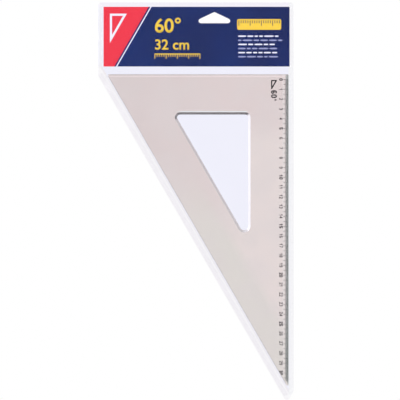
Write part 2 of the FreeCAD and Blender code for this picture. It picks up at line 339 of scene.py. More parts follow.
def handling_marks():
    """Faint rubs and hairlines on smooth plastic: Roughness between Clean and Rubbed, and Height."""
    inputs = (("Clean", 0.05), ("Rubbed", 0.2), ("Per Metre", 60.0))
    outputs = (("Roughness", "NodeSocketFloat"), ("Height", "NodeSocketFloat"))
    tree, given, result = new_effect("handling_marks", inputs, outputs)
    place = add(tree, "ShaderNodeTexCoord").outputs["Object"]
    rubs = ramp(tree, noise(tree, place, given.outputs["Per Metre"], Detail=4.0), *RUB_SPAN)
    turned = {"Vector": place, "Rotation": HAIR_TURN, "Scale": HAIRS_PER_METRE}
    hairs = noise(tree, add(tree, "ShaderNodeMapping", turned).outputs[0], 1.0, Detail=1.0)
    lines = product(tree, ramp(tree, hairs, *HAIR_SPAN), rubs)
    share = math_node(tree, "MAXIMUM", product(tree, rubs, RUB_SHARE), lines)
    span = {"Value": share, "To Min": given.outputs["Clean"], "To Max": given.outputs["Rubbed"]}
    rough = add(tree, "ShaderNodeMapRange", span).outputs["Result"]
    tree.links.new(rough, result.inputs["Roughness"])
    tree.links.new(lines, result.inputs["Height"])
    return tree


SPECKLE = fine_speckle()
MARKS = handling_marks()


# ---------------------------------------------------------------- finishes

FILM_MIRROR = 0.005
PLATE_MIRROR = 0.008
MARK_DEPTH = 0.02 * MM
INK_DEPTH = 0.01 * MM
FIBRE_DEPTH = 0.02 * MM
PRINT_SHEEN = 0.15
INK_ROUGHNESS = (0.42, 0.6)
CARD_FRONT_ROUGHNESS = 0.45
BARE_BOARD_ROUGHNESS = 0.85
PURE_WHITE = (1.0, 1.0, 1.0, 1.0)


def uneven(tree, height, strength, depth):
    """The normal of a surface that a height makes uneven."""
    inputs = {"Strength": strength, "Distance": depth, "Height": height}
    return add(tree, "ShaderNodeBump", inputs).outputs[0]


def head_on_and_grazing(tree, head_on):
    """How much a clear face mirrors: little seen head on, all at a grazing angle, on both sides."""
    facing = add(tree, "ShaderNodeLayerWeight", {"Blend": 0.5}).outputs["Facing"]
    grazing = math_node(tree, "POWER", facing, 5.0)
    return math_node(tree, "ADD", product(tree, grazing, 1 - head_on), head_on)


def polish(tree, output, under, marks, strength, head_on):
    """Ends a clear finish: the mirror of its marked face over the shader that is under it."""
    normal = uneven(tree, marks.outputs["Height"], strength, MARK_DEPTH)
    gloss = add(tree, "ShaderNodeBsdfGlossy", {
        "Color": PURE_WHITE,
        "Roughness": marks.outputs["Roughness"],
        "Normal": normal,
    })
    mirror = head_on_and_grazing(tree, head_on)
    surface = add(tree, "ShaderNodeMixShader", {0: mirror, 1: under, 2: gloss.outputs[0]})
    tree.links.new(surface.outputs[0], output.inputs["Surface"])


def soft_sheen(tree, output, colour, rough, normal):
    """Ends a matt finish: a colour with a soft sheen."""
    shader = add(tree, "ShaderNodeBsdfPrincipled", {
        "Base Color": colour,
        "Roughness": rough,
        "Specular IOR Level": PRINT_SHEEN,
        "Normal": normal,
    })
    tree.links.new(shader.outputs[0], output.inputs["Surface"])


# A film's own tint is given with each finish. It is paler past the card's top and the plate's right.
FILM_ABOVE_CARD = (0.974, 0.967, 0.986, 1)
FILM_AT_RIGHT = (0.972, 0.972, 0.98, 1)
FILM_CLOUDS_PER_METRE = 22.0
CARD_BOTTOM_LINE = 1.5 * MM
CARD_BOTTOM_SOFT = 4 * MM
CARD_TOP_SOFT = 0.5 * MM
PLATE_SIDE_SOFT = 0.3 * MM


def clear_film(name, tint, cloudy, beside_card):
    """Clear packing film: it tints what lies behind it a little and mirrors like glass."""
    finish, tree, output = new_finish(name)
    card_low, card_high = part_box("header_card")
    plate_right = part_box("set_square_plate")[1].x
    place = add(tree, "ShaderNodeTexCoord").outputs["Object"]
    spot = sides_of(tree, place)
    passed = blended(tree, clouds(tree, place, FILM_CLOUDS_PER_METRE), tint, cloudy)
    by_card = crossing(tree, spot["Z"], card_low.z + CARD_BOTTOM_LINE, CARD_BOTTOM_SOFT)
    passed = blended(tree, by_card, passed, beside_card)
    above_card = crossing(tree, spot["Z"], card_high.z, CARD_TOP_SOFT)
    passed = blended(tree, above_card, passed, FILM_ABOVE_CARD)
    at_right = crossing(tree, spot["X"], plate_right, PLATE_SIDE_SOFT)
    passed = blended(tree, at_right, passed, FILM_AT_RIGHT)
    through = add(tree, "ShaderNodeBsdfTransparent", {"Color": passed}).outputs[0]
    marks = placed(tree, MARKS, Clean=0.06, Rubbed=0.22, Per_Metre=45.0)
    polish(tree, output, through, marks, strength=0.25, head_on=FILM_MIRROR)
    return finish


# The plate's tint on its flat faces. Each span runs inwards from one of the plate's sides: the top,
# the ruled edge or the slanted edge. The tint changes from the span's first distance to its second.
TINT_LEFT = (0.893, 0.836, 0.795, 1)
TINT_RIGHT = (0.914, 0.85, 0.807, 1)
RIGHT_FROM_RULED = (185 * MM, 45.5 * MM)
TINT_LOWER_RIGHT = (0.943, 0.89, 0.838, 1)
LOWER_FROM_TOP = (40 * MM, 75 * MM)
LOWER_FROM_RULED = (85.8 * MM, 45.8 * MM)
TINT_LOWER_SLANT = (0.906, 0.879, 0.817, 1)
SLANT_FROM_SLANT = (34 * MM, 18 * MM)
SLANT_FROM_TOP = (80 * MM, 170 * MM)
TINT_CLOUD = (0.902, 0.863, 0.822, 1)
CLOUD_SPAN = (0.32, 0.68)
CLOUD_SHARE = 0.4
CLOUDS_PER_METRE = 34.0

# Painted highlights that the bevels throw beside them, as stripes between two distances from a side
TOP_HIGHLIGHT = (1.0, 0.94, 0.9, 1)
TOP_LINE = (1.7 * MM, 3.1 * MM)
WINDOW_HIGHLIGHT = (0.966, 1.0, 0.955, 1)
WINDOW_LINE = (37.6 * MM, 38.9 * MM)
WINDOW_FROM_SLANT = (39 * MM, 49 * MM)
WINDOW_FROM_RULED = (41 * MM, 44 * MM)
WINDOW_LINE_SHARE = 0.9
RULED_HIGHLIGHT = (0.95, 0.922, 0.878, 1)
RULED_LINE = (4.0 * MM, 6.3 * MM)
RULED_LINE_SOFT = 0.5 * MM
LINE_SOFT = 0.3 * MM
LINE_SHARE = 0.5


def flat_tint_and_highlights(tree, place, top, ruled, slant):
    """The tint of the plate's flat faces: paler at the right, greener low along the slant, clouded
    all over, and lined with painted highlights. top, ruled and slant are the distances from those
    sides."""
    tint = blended(tree, ramp(tree, ruled, *RIGHT_FROM_RULED), TINT_LEFT, TINT_RIGHT)
    low_right = product(tree, ramp(tree, top, *LOWER_FROM_TOP), ramp(tree, ruled, *LOWER_FROM_RULED))
    tint = blended(tree, low_right, tint, TINT_LOWER_RIGHT)
    low_slant = product(tree, ramp(tree, slant, *SLANT_FROM_SLANT), ramp(tree, top, *SLANT_FROM_TOP))
    tint = blended(tree, low_slant, tint, TINT_LOWER_SLANT)
    cloud = product(tree, clouds(tree, place, CLOUDS_PER_METRE, CLOUD_SPAN), CLOUD_SHARE)
    tint = blended(tree, cloud, tint, TINT_CLOUD)

    # Painted highlights: light stripes beside the top, the window's top and the ruled bevel
    line = stripe(tree, top, *TOP_LINE, LINE_SOFT)
    tint = blended(tree, product(tree, line, LINE_SHARE), tint, TOP_HIGHLIGHT)
    over = product(tree, ramp(tree, slant, *WINDOW_FROM_SLANT), ramp(tree, ruled, *WINDOW_FROM_RULED))
    line = product(tree, stripe(tree, top, *WINDOW_LINE, LINE_SOFT), over)
    tint = blended(tree, product(tree, line, WINDOW_LINE_SHARE), tint, WINDOW_HIGHLIGHT)
    line = stripe(tree, ruled, *RULED_LINE, RULED_LINE_SOFT)
    return blended(tree, product(tree, line, LINE_SHARE), tint, RULED_HIGHLIGHT)


# The plate's bevels, with painted shade and painted highlight set by which way each bevel leans. A
# lean is the span of a normal's X or Z over which a bevel's painted look sets in. The window's rounded
# tip is told apart by a turned direction and its distance from the top. The painted highlight of a cut
# side goes from the third number of CUT_FADE to the fourth as its normal's Z goes from the first to
# the second.
LEAN_RIGHT = (0.2, 0.33)
LEAN_LEFT = (-0.1, -0.2)
LEAN_UP = (0.12, 0.22)
LEAN_DOWN = (-0.2, -0.4)
TIP_DIRECTION = (1.0, 0.0, -0.35)
TIP_LEAN = (0.0, -0.14)
TIP_FROM_TOP = (100 * MM, 120 * MM)
# Painted shade: the tints of the bevels that lean right, down and up
RULED_BEVEL_SHADE = (0.6, 0.64, 0.605, 1)
RULED_EDGE_SHADE = (0.386, 0.425, 0.395, 1)
RULED_BEVEL = (3.1 * MM, 0.0)
WINDOW_SLANT_SHADE = (0.3, 0.3, 0.305, 1)
WINDOW_BEVELS = (9 * MM, 12 * MM)
UNDER_SHADE = (0.27, 0.27, 0.275, 1)
UNDER_SLANT_SHADE = (0.55, 0.54, 0.53, 1)
UNDER_SLANT_LEAN = (-0.5, -0.75)
UPPER_SHADE = (0.72, 0.705, 0.695, 1)
# The colour of the painted highlight on the cut sides
CUT_HIGHLIGHT = (0.945, 0.92, 0.9, 1)
CUT_FADE = (0.2, 0.46, 0.95, 0.35)


def painted_bevel_shade(tree, tint, normal, ruled):
    """The tint with painted shade on the plate's bevels: darker where they lean right, up and down."""
    up = ramp(tree, normal["Z"], *LEAN_UP)
    down = ramp(tree, normal["Z"], *LEAN_DOWN)
    level = the_rest(tree, math_node(tree, "MAXIMUM", up, down))
    right = product(tree, ramp(tree, normal["X"], *LEAN_RIGHT), level)
    dark = blended(tree, ramp(tree, ruled, *RULED_BEVEL), RULED_BEVEL_SHADE, RULED_EDGE_SHADE)
    dark = blended(tree, ramp(tree, ruled, *WINDOW_BEVELS), dark, WINDOW_SLANT_SHADE)
    tint = blended(tree, right, tint, dark)
    under_slant = ramp(tree, normal["X"], *UNDER_SLANT_LEAN)
    tint = blended(tree, down, tint, blended(tree, under_slant, UNDER_SHADE, UNDER_SLANT_SHADE))
    return blended(tree, up, tint, UPPER_SHADE)


def cut_highlight(tree, direction, top):
    """The share of painted highlight on a cut side: the sides that lean left and the window's rounded tip.
    """
    normal = sides_of(tree, direction)
    turned = along(tree, direction, TIP_DIRECTION)
    tip = product(tree, ramp(tree, turned, *TIP_LEAN), ramp(tree, top, *TIP_FROM_TOP))
    left = math_node(tree, "MAXIMUM", ramp(tree, normal["X"], *LEAN_LEFT), tip)
    bright = product(tree, left, the_rest(tree, ramp(tree, normal["Z"], *LEAN_DOWN)))
    return product(tree, bright, ramp(tree, normal["Z"], *CUT_FADE))


def tinted_plastic():
    """The moulded plate: clear plastic with a faint pink-grey tint, and painted shade and painted
    highlight on its bevelled sides, darker or brighter by which way each side leans."""
    finish, tree, output = new_finish("tinted_plastic")
    low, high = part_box("set_square_plate")
    coordinates = add(tree, "ShaderNodeTexCoord").outputs
    place = sides_of(tree, coordinates["Object"])
    top = math_node(tree, "SUBTRACT", high.z, place["Z"])
    ruled = math_node(tree, "SUBTRACT", high.x, place["X"])
    inward = (math.sin(PLATE_ANGLE), 0.0, math.cos(PLATE_ANGLE))
    at_corner = Vector(inward).dot((low.x, 0.0, high.z))
    slant = math_node(tree, "SUBTRACT", along(tree, coordinates["Object"], inward), at_corner)

    tint = flat_tint_and_highlights(tree, coordinates["Object"], top, ruled, slant)
    # Painted shade on the bevels, set by which way each one leans
    tint = painted_bevel_shade(tree, tint, sides_of(tree, coordinates["Normal"]), ruled)
    through = add(tree, "ShaderNodeBsdfTransparent", {"Color": tint}).outputs[0]
    # Painted highlight: the cut sides that lean left, and the window's tip, take a lit matt finish
    cut = add(tree, "ShaderNodeBsdfPrincipled", {"Base Color": CUT_HIGHLIGHT, "Roughness": 0.4}).outputs[0]
    bright = cut_highlight(tree, coordinates["Normal"], top)
    body = add(tree, "ShaderNodeMixShader", {0: bright, 1: through, 2: cut}).outputs[0]
    marks = placed(tree, MARKS, Clean=0.08, Rubbed=0.24, Per_Metre=70.0)
    polish(tree, output, body, marks, strength=0.3, head_on=PLATE_MIRROR)
    return finish


def printing_ink(name, colour, worn):
    """Ink on plastic or board: a slightly uneven colour with a soft sheen."""
    finish, tree, output = new_finish(name)
    specks = placed(tree, SPECKLE, Per_Metre=1400.0).outputs["Specks"]
    rough = ramp(tree, specks, 0.0, 1.0, *INK_ROUGHNESS)
    shade = blended(tree, specks, colour, worn)
    normal = uneven(tree, specks, strength=0.15, depth=INK_DEPTH)
    soft_sheen(tree, output, shade, rough, normal)
    return finish


NAVY_DRIFT_PER_METRE = 18.0
NAVY_TO_RIGHT = (20 * MM, 50 * MM)
NAVY_SPECK_SHARE = 0.35
FRONT_FACING = (-0.5, -0.9)


def printed_board():
    """The header card: navy print on the front, bare board at the cut edges and on the back."""
    finish, tree, output = new_finish("printed_card")
    coordinates = add(tree, "ShaderNodeTexCoord").outputs
    place = sides_of(tree, coordinates["Object"])
    fibres = placed(tree, SPECKLE, Per_Metre=800.0).outputs["Fibres"]
    specks = placed(tree, SPECKLE, Per_Metre=2200.0).outputs["Specks"]
    to_right = ramp(tree, place["X"], *NAVY_TO_RIGHT)
    deep = blended(tree, to_right, srgb(9, 38, 98), srgb(9, 32, 92))
    deeper = blended(tree, to_right, srgb(7, 30, 83), srgb(8, 25, 77))
    navy = blended(tree, clouds(tree, coordinates["Object"], NAVY_DRIFT_PER_METRE), deep, deeper)
    navy = blended(tree, product(tree, specks, NAVY_SPECK_SHARE), navy, srgb(20, 40, 94))
    board = blended(tree, fibres, srgb(228, 224, 214), srgb(220, 215, 204))
    printed = ramp(tree, sides_of(tree, coordinates["Normal"])["Y"], *FRONT_FACING)
    rough = ramp(tree, printed, 0.0, 1.0, BARE_BOARD_ROUGHNESS, CARD_FRONT_ROUGHNESS)
    shade = blended(tree, printed, board, navy)
    normal = uneven(tree, fibres, strength=0.2, depth=FIBRE_DEPTH)
    soft_sheen(tree, output, shade, rough, normal)
    return finish


FILM = clear_film(
    "clear_film",
    tint=(0.966, 0.966, 0.993, 1),
    cloudy=(0.964, 0.9645, 0.991, 1),
    beside_card=(0.965, 0.965, 0.992, 1),
)
WELD = clear_film(
    "welded_film",
    tint=(0.967, 0.96, 0.973, 1),
    cloudy=(0.964, 0.958, 0.97, 1),
    beside_card=(0.965, 0.965, 0.984, 1),
)
PLASTIC = tinted_plastic()
BLACK = printing_ink("black_ink", srgb(30, 27, 30), srgb(48, 44, 46))
DEEP = printing_ink("deep_blue_ink", srgb(26, 36, 84), srgb(34, 44, 94))
CORAL = printing_ink("coral_ink", srgb(238, 56, 72), srgb(230, 50, 66))
YELLOW = printing_ink("yellow_ink", srgb(252, 214, 76), srgb(246, 206, 66))
WHITE = printing_ink("white_ink", srgb(246, 246, 250), srgb(232, 232, 240))
LILAC = printing_ink("pale_ink", srgb(168, 172, 206), srgb(146, 152, 190))
BOARD = printed_board()


# ---------------------------------------------------------------- flat nets of triangles

INSIDE_ONLY = 1
TOUCHING = 1e-7
SAME_WAY = 0.999


def sides_around(loop):
    """Each side of a closed outline, as its two ends."""
    return list(zip(loop, loop[1:] + loop[:1]))


def in_order(loop):
    """The same closed outline, run counterclockwise from its leftmost point."""
    twice_area = sum(ax * bz - bx * az for (ax, az), (bx, bz) in sides_around(loop))
    if twice_area < 0:
        loop = loop[::-1]
    start = loop.index(min(loop))
    return loop[start:] + loop[:start]


def loops_facing(node, direction):
    """The closed outlines (x, z) of a node's flat faces that look along a direction. They come in
    the same order on every run."""
    shape = bmesh.new()
    shape.from_mesh(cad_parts[node].data)
    bmesh.ops.remove_doubles(shape, verts=shape.verts, dist=TOUCHING)
    away = [face for face in shape.faces if face.normal.dot(direction) < SAME_WAY]
    bmesh.ops.delete(shape, geom=away, context="FACES")
    rim = {edge for edge in shape.edges if edge.is_boundary}
    loops = []
    while rim:
        edge = rim.pop()
        first, corner = edge.verts
        loop = [first, corner]
        while corner is not first:
            edge = next(e for e in corner.link_edges if e in rim)
            rim.remove(edge)
            corner = edge.other_vert(corner)
            loop.append(corner)
        loops.append(in_order([(vert.co.x, vert.co.z) for vert in loop[:-1]]))
    shape.free()
    return sorted(loops)


def inside(point, loop):
    """True if the point lies in the closed outline."""
    x, z = point
    odd = False
    for (ax, az), (bx, bz) in sides_around(loop):
        if (az > z) != (bz > z) and x < (bx - ax) * (z - az) / (bz - az) + ax:
            odd = not odd
    return odd


def from_rim(point, loops):
    """How far a point is from the nearest outline."""
    spot = Vector(point)
    nearest = math.inf
    for loop in loops:
        for a, b in sides_around(loop):
            _, share = geometry.intersect_point_line(spot, Vector(a), Vector(b))
            on_side = Vector(a).lerp(Vector(b), min(max(share, 0.0), 1.0))
            nearest = min(nearest, (on_side - spot).length)
    return nearest


def flat_net(outer, holes, loose_points=()):
    """The points and triangles of a flat area with holes, given by closed outlines."""
    points = []
    edges = []
    for loop in (outer, *holes):
        start = len(points)
        points += loop
        edges += [(start + i, start + (i + 1) % len(loop)) for i in range(len(loop))]
    points += loose_points
    net = geometry.delaunay_2d_cdt([Vector(p) for p in points], edges, [], INSIDE_ONLY, TOUCHING)
    corners, _, triangles = net[:3]
    faces = []
    for triangle in triangles:
        middle = sum((corners[i] for i in triangle), Vector((0, 0))) / len(triangle)
        if not any(inside(middle, hole) for hole in holes):
            faces.append(triangle)
    return corners, faces


# ---------------------------------------------------------------- the films


def grid_points(outer, holes):
    """A triangular grid of points inside a film, each clear of its rim."""
    left = min(x for x, _ in outer)
    right = max(x for x, _ in outer)
    bottom = min(z for _, z in outer)
    top = max(z for _, z in outer)
    points = []
    for row in range(int((top - bottom) / FILM_GRID)):
        for column in range(int((right - left) / FILM_GRID)):
            across = column + 0.5 + 0.5 * (row % 2)
            spot = (left + across * FILM_GRID, bottom + (row + 0.5) * FILM_GRID)
            if inside(spot, outer) and not any(inside(spot, hole) for hole in holes):
                if from_rim(spot, [outer, *holes]) > FILM_GRID / 2:
                    points.append(spot)
    return points


def sheet_mesh(name, loops, y):
    """A flat net of triangles inside the outlines, with each point's distance from the rim."""
    outer = max(loops, key=lambda loop: max(x for x, _ in loop) - min(x for x, _ in loop))
    holes = [loop for loop in loops if loop is not outer]
    corners, faces = flat_net(outer, holes, grid_points(outer, holes))
    mesh = plain_mesh(name, [(p.x, y, p.y) for p in corners], [], faces)
    rim = mesh.attributes.new("from_rim", "FLOAT", "POINT")
    rim.data.foreach_set("value", [from_rim(p, loops) for p in corners])
    return mesh


def film_slack():
    """Lets a flat film sink towards the plate below the card, with soft ripples."""
    inputs = (
        ("Settle", "NodeSocketFloat"),
        ("Ripple", "NodeSocketFloat"),
        ("Ripple Size", "NodeSocketFloat"),
        ("Fade", "NodeSocketFloat"),
        ("Card Bottom", "NodeSocketFloat"),
        ("Inward", "NodeSocketFloat"),
        ("Film", "NodeSocketMaterial"),
    )
    tree, given, result = new_maker("film_slack", inputs)
    spot = add(tree, "GeometryNodeInputPosition").outputs[0]
    below = math_node(tree, "SUBTRACT", given.outputs["Card Bottom"], sides_of(tree, spot)["Z"])
    sunk = product(tree, ramp(tree, below, *SINK_BELOW_CARD), given.outputs["Settle"])
    per_metre = math_node(tree, "DIVIDE", 1.0, given.outputs["Ripple Size"])
    stretch = {0: spot, 1: RIPPLE_STRETCH}
    stretched = add(tree, "ShaderNodeVectorMath", stretch, operation="MULTIPLY").outputs[0]
    waves = ramp(tree, noise(tree, stretched, per_metre, Detail=1.0), *WHOLE_SPAN)
    ripple = product(tree, waves, given.outputs["Ripple"])
    loose = ramp(tree, stored(tree, "from_rim"), 0.0, given.outputs["Fade"])
    depth = product(tree, math_node(tree, "ADD", sunk, ripple), loose)
    moved = add(tree, "GeometryNodeSetPosition", {
        "Geometry": given.outputs["Geometry"],
        "Offset": vector(tree, Y=product(tree, depth, given.outputs["Inward"])),
    })
    tree.links.new(coated(tree, moved.outputs[0], given.outputs["Film"]), result.inputs[0])
    return tree


def film_sheets():
    """The front and the back film, each in the place of its node."""
    slack = film_slack()
    card_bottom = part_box("header_card")[0].z
    for side, inward, settle, ripple in (
        ("front", 1.0, FRONT_SETTLE, FRONT_RIPPLE),
        ("back", -1.0, BACK_SETTLE, BACK_RIPPLE),
    ):
        node = "sleeve_" + side + "_film"
        name = side + "_film_sheet"
        low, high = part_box(node)
        loops = loops_facing(node, Vector((0, -inward, 0)))
        sheet = new_piece(name, sheet_mesh(name, loops, (low.y + high.y) / 2))
        made_by(sheet, slack, settle=settle, ripple=ripple, ripple_size=RIPPLE_SIZE, fade=FILM_FADE,
                card_bottom=card_bottom, inward=inward, film=FILM)
        thicken = sheet.modifiers.new("thickness", "SOLIDIFY")
        thicken.thickness = FILM_THICKNESS
        thicken.offset = 0.0
        settled(sheet)
        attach(sheet, "sleeve")
        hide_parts(node)


# ---------------------------------------------------------------- the weld's ribs

WELDS = ("left_weld", "right_weld", "tip_weld", "slant_weld")

# A flange's two long sides: how far one may stray from alongside the other, and how far apart they
# are at least
ALONGSIDE = 0.1 * MM
NARROWEST_FLANGE = 1 * MM


def flange_line(node):
    """The middle of a weld's flat flange, from end to end, and the flange's width."""
    loop = max(loops_facing(node, Vector((0, -1, 0))), key=len)
    sides = [(Vector(a), Vector(b)) for a, b in sides_around(loop)]
    first = max(sides, key=lambda side: (side[1] - side[0]).length)
    run = (first[1] - first[0]).normalized()
    across = Vector((-run.y, run.x))
    opposite = []
    for a, b in sides:
        if abs((a - first[0]).dot(across)) > NARROWEST_FLANGE and abs((b - a).dot(across)) < ALONGSIDE:
            opposite.append((a, b))
    second = max(opposite, key=lambda side: (side[1] - side[0]).length)
    spans = [sorted((point - first[0]).dot(run) for point in side) for side in (first, second)]
    width = (second[0] - first[0]).dot(across)
    middle = first[0] + across * width / 2
    start = max(span[0] for span in spans)
    end = min(span[1] for span in spans)
    return middle + run * start, middle + run * end, abs(width)


def rib_maker():
    """Presses a row of small ribs across each line of a mesh, on the front and on the back."""
    inputs = (
        ("Pitch", "NodeSocketFloat"),
        ("Width", "NodeSocketFloat"),
        ("Height", "NodeSocketFloat"),
        ("Surface", "NodeSocketFloat"),
        ("Film", "NodeSocketMaterial"),
    )
    tree, given, result = new_maker("weld_ribs", inputs)
    line = add(tree, "GeometryNodeMeshToCurve", {"Mesh": given.outputs["Geometry"]}).outputs[0]
    spacing = {"Curve": line, "Length": given.outputs["Pitch"]}
    steps = add(tree, "GeometryNodeResampleCurve", spacing, mode="LENGTH").outputs[0]
    standing = {"Vertices": RIB_SIDES, "Radius": 0.5, "Depth": 1.0}
    bar = add(tree, "GeometryNodeMeshCylinder", standing).outputs["Mesh"]
    lay_down = {"Geometry": bar, "Rotation": (0, math.pi / 2, 0)}
    lying = add(tree, "GeometryNodeTransform", lay_down).outputs[0]
    twice = product(tree, given.outputs["Height"], 2.0)
    size = vector(tree, X=stored(tree, "rib_length"), Y=twice, Z=given.outputs["Width"])
    tangent = add(tree, "GeometryNodeInputTangent").outputs[0]
    turn = add(tree, "FunctionNodeAlignRotationToVector", {"Vector": tangent}, axis="Z", pivot_axis="Y")
    ribs = copies(tree, steps, lying, Rotation=turn.outputs[0], Scale=size)
    both = tree.nodes.new("GeometryNodeJoinGeometry")
    for side in (-1.0, 1.0):
        lift = vector(tree, Y=product(tree, given.outputs["Surface"], side))
        row = add(tree, "GeometryNodeTransform", {"Geometry": ribs, "Translation": lift})
        tree.links.new(row.outputs[0], both.inputs[0])
    tree.links.new(coated(tree, both.outputs[0], given.outputs["Film"]), result.inputs[0])
    return tree


def weld_ribs():
    """The ribs that the hot bars press into the four flanges."""
    points = []
    lengths = []
    for node in WELDS:
        start, end, width = flange_line(node)
        points += [(start.x, 0, start.y), (end.x, 0, end.y)]
        lengths += [width * RIB_SHARE] * 2
    edges = [(i, i + 1) for i in range(0, len(points), 2)]
    ribs = new_piece("weld_ribs", plain_mesh("weld_ribs", points, edges, []))
    ribs.data.attributes.new("rib_length", "FLOAT", "POINT").data.foreach_set("value", lengths)
    made_by(ribs, rib_maker(), pitch=RIB_PITCH, width=RIB_WIDTH, height=RIB_HEIGHT,
            surface=FILM_THICKNESS, film=WELD)
    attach(ribs, "sleeve")


# ---------------------------------------------------------------- the card's print


def on_card(u, v):
    """The point at (u, v) on the card's front."""
    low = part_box("header_card")[0]
    return Vector((low.x + u, low.y, low.z + v))


def print_piece(piece, layer=0):
    """Gives flat print its thickness, above the layers under it, and fixes it to the card."""
    thicken = piece.modifiers.new("thickness", "SOLIDIFY")
    thicken.thickness = INK_LAYER
    thicken.offset = 1.0
    settled(piece)
    piece.data.transform(Matrix.Translation((0, -layer * INK_LAYER, 0)))
    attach(piece, "header_card")


def flat_shape(name, ink, outer, *windows):
    """A flat piece on the card from an outline in (u, v) and the outlines of its windows."""
    corners, faces = flat_net(outer, windows)
    mesh = plain_mesh(name, [on_card(p.x, p.y) for p in corners], [], faces)
    mesh.materials.append(ink)
    return new_piece(name, mesh)


def leaning_strip(left_below, width, height):
    """A strip from the card's lower edge to its top, which leans right as the band does."""
    right_below = left_below + width
    shift = height / BAND_SLOPE
    return [(left_below, 0), (right_below, 0), (right_below + shift, height), (left_below + shift, height)]


def inset_triangle(points, band):
    """The triangle inside another, the band's width in from each side."""
    a, b, c = (Vector(p) for p in points)
    sides = ((b - c).length, (c - a).length, (a - b).length)
    around = sum(sides)
    middle = (a * sides[0] + b * sides[1] + c * sides[2]) / around
    radius = abs((b - a).cross(c - a)) / around
    return [tuple(middle.lerp(p, 1 - band / radius)) for p in (a, b, c)]


def rounded_bar(left, bottom, width, height, radius):
    """The outline of a bar with rounded corners."""
    centres = (
        (width - radius, height - radius),
        (radius, height - radius),
        (radius, radius),
        (width - radius, radius),
    )
    outline = []
    for quarter, (u, v) in enumerate(centres):
        for step in range(ROUND_STEPS + 1):
            angle = math.radians(90 * (quarter + step / ROUND_STEPS))
            outline.append((left + u + radius * math.cos(angle), bottom + v + radius * math.sin(angle)))
    return outline


def number_print():
    """The yellow numbers, in plain bold figures."""
    whole = bmesh.new()
    upright = Matrix.Rotation(math.pi / 2, 4, "X")
    for words, bottom, size in NUMBER_LINES:
        text = bpy.data.curves.new("number", "FONT")
        text.body = words
        text.size = size
        text.offset = NUMBER_WEIGHT * size
        text.resolution_u = NUMBER_CURVE_STEPS
        sample = new_piece("number", text)
        mesh = mesh_of(sample)
        bpy.data.objects.remove(sample)
        mesh.transform(Matrix.Translation(on_card(NUMBER_LEFT, bottom)) @ upright)
        whole.from_mesh(mesh)
    bmesh.ops.remove_doubles(whole, verts=whole.verts, dist=TOUCHING)
    mesh = bpy.data.meshes.new("number_print")
    whole.to_mesh(mesh)
    whole.free()
    mesh.materials.clear()
    mesh.materials.append(YELLOW)
    return new_piece("number_print", mesh)


def standing_bar(tree, lift):
    """A flat bar one metre square with soft corners that faces the front, to be scaled to a printed
    word or tick. Its middle is lifted above the origin."""
    outline = add(tree, "GeometryNodeCurvePrimitiveQuadrilateral", {"Width": 1.0, "Height": 1.0})
    rounding = {"Curve": outline.outputs[0], "Radius": BAR_CORNER, "Count": 2, "Limit Radius": True}
    soft = add(tree, "GeometryNodeFilletCurve", rounding, mode="POLY")
    flat = add(tree, "GeometryNodeFillCurve", {"Curve": soft.outputs[0]}, mode="NGONS")
    stand = {"Geometry": flat.outputs[0], "Translation": (0, 0, lift), "Rotation": (math.pi / 2, 0, 0)}
    return add(tree, "GeometryNodeTransform", stand).outputs[0]


def tick_maker():
    """A row of ticks that hang from a line, the first and then every so many of them longer."""
    inputs = (
        ("Count", "NodeSocketInt"),
        ("Pitch", "NodeSocketFloat"),
        ("Thickness", "NodeSocketFloat"),
        ("Short", "NodeSocketFloat"),
        ("Long", "NodeSocketFloat"),
        ("Long Every", "NodeSocketInt"),
        ("Ink", "NodeSocketMaterial"),
    )
    tree, given, result = new_maker("tick_row", inputs)
    step = vector(tree, X=given.outputs["Pitch"])
    row = add(tree, "GeometryNodeMeshLine", {"Count": given.outputs["Count"], "Offset": step})
    number = add(tree, "GeometryNodeInputIndex").outputs[0]
    past_long = math_node(tree, "MODULO", number, given.outputs["Long Every"])
    is_short = math_node(tree, "MINIMUM", past_long, 1.0)
    span = {"Value": is_short, "To Min": given.outputs["Long"], "To Max": given.outputs["Short"]}
    length = add(tree, "ShaderNodeMapRange", span).outputs["Result"]
    size = vector(tree, X=given.outputs["Thickness"], Y=1.0, Z=length)
    ticks = copies(tree, row.outputs[0], standing_bar(tree, -0.5), Scale=size)
    tree.links.new(coated(tree, ticks, given.outputs["Ink"]), result.inputs[0])
    return tree


